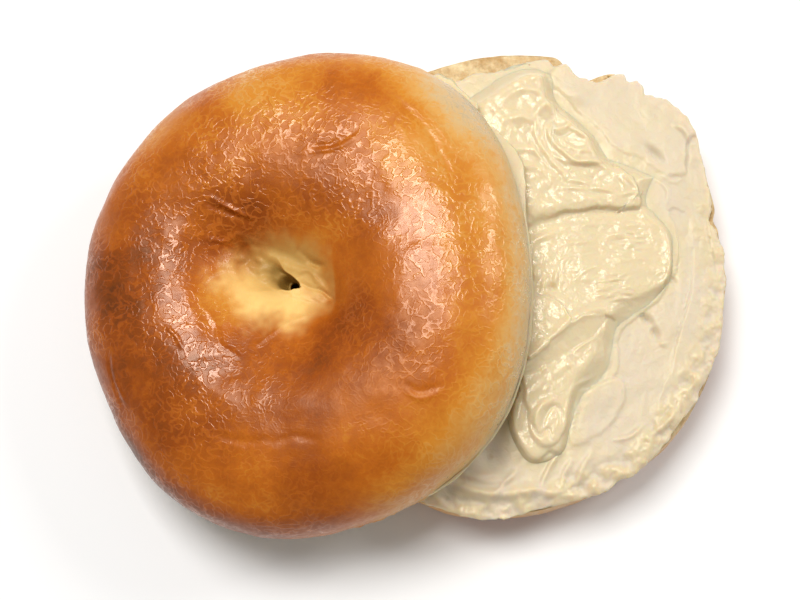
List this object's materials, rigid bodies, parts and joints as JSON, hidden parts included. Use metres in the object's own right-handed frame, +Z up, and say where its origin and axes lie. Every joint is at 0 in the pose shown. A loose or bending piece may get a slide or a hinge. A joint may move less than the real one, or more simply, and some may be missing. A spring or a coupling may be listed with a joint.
{
  "type": "sliced bagel with cream cheese",
  "caption": "Plain bagel sliced in two: the browned top half leans, slid to the left, on the bottom half, whose cut face is thickly spread with cream cheese.",
  "frame": {"origin": "on the surface that the bagel lies on, under the middle of its bounding box", "axes": "+X from the top half towards the bottom half, along the longest side; +Y across, away from the viewer; +Z up"},
  "size_m": [0.1598, 0.1262, 0.0497],
  "materials": {
    "crust": "glossy browned bread crust, paler down the sides",
    "bread": "pale baked crust below and soft crumb on the cut face",
    "cream_cheese": "soft satin cream, wet where it is thick"
  },
  "bodies": {
    "root": {"top_half": "crust", "bottom_half": "bread", "cream_cheese": "cream_cheese", "cream_cheese_on_lid": "cream_cheese"}
  },
  "joints": []
}
